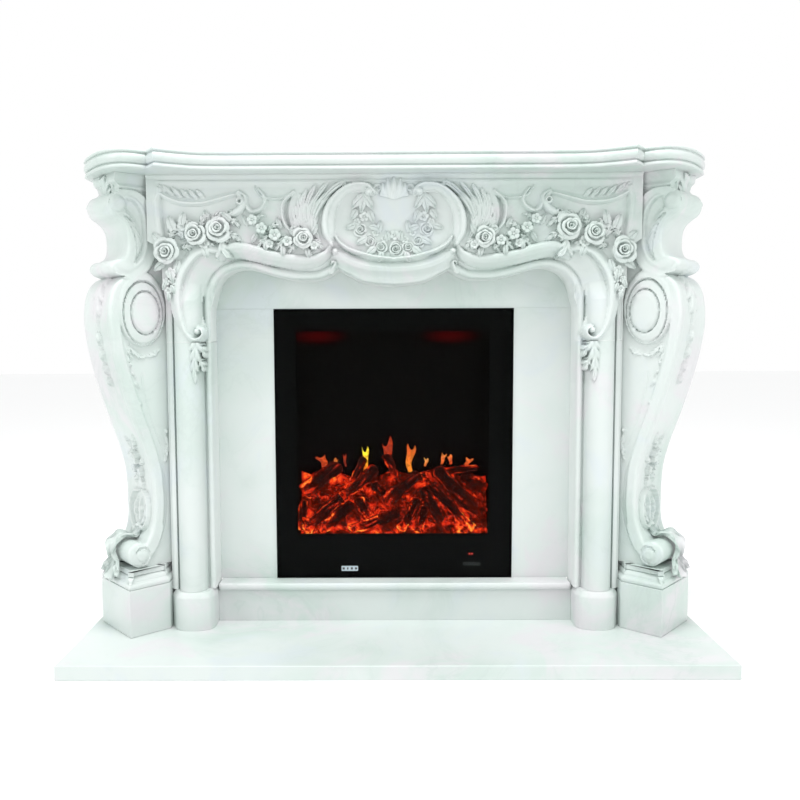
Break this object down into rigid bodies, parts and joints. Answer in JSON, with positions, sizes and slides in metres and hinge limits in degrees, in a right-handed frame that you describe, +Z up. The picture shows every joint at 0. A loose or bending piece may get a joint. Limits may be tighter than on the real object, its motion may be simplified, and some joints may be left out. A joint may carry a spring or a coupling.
{
  "type": "fireplace mantel",
  "caption": "Carved pale marble mantel with canted scroll consoles, a shaped shelf, a flowered frieze, stone slips, a hearth slab and a glass-fronted electric fire",
  "frame": {"origin": "middle of the hearth's underside, half way between its front edge and the wall", "axes": "+X along the shelf to the viewer's right, +Y back to the wall, +Z up"},
  "size_m": [1.5116, 0.4, 1.1699],
  "materials": {
    "marble": "honed and waxed pale marble, satin",
    "black_steel": "satin black paint",
    "dark_glass": "polished tinted glass",
    "ember_logs": "moulded resin, charred and glowing"
  },
  "bodies": {
    "root": {"hearth_slab": "marble", "riser": "marble", "sill": "marble", "left_plinth": "marble", "right_plinth": "marble", "left_console": "marble", "right_console": "marble", "left_column_base": "marble", "right_column_base": "marble", "left_column": "marble", "right_column": "marble", "left_slip": "marble", "right_slip": "marble", "header_slip": "marble", "frieze": "marble", "mantel_shelf": "marble", "firebox_case": "black_steel", "fire_bezel": "black_steel", "fire_glass": "dark_glass", "log_bed": "ember_logs"}
  },
  "joints": []
}
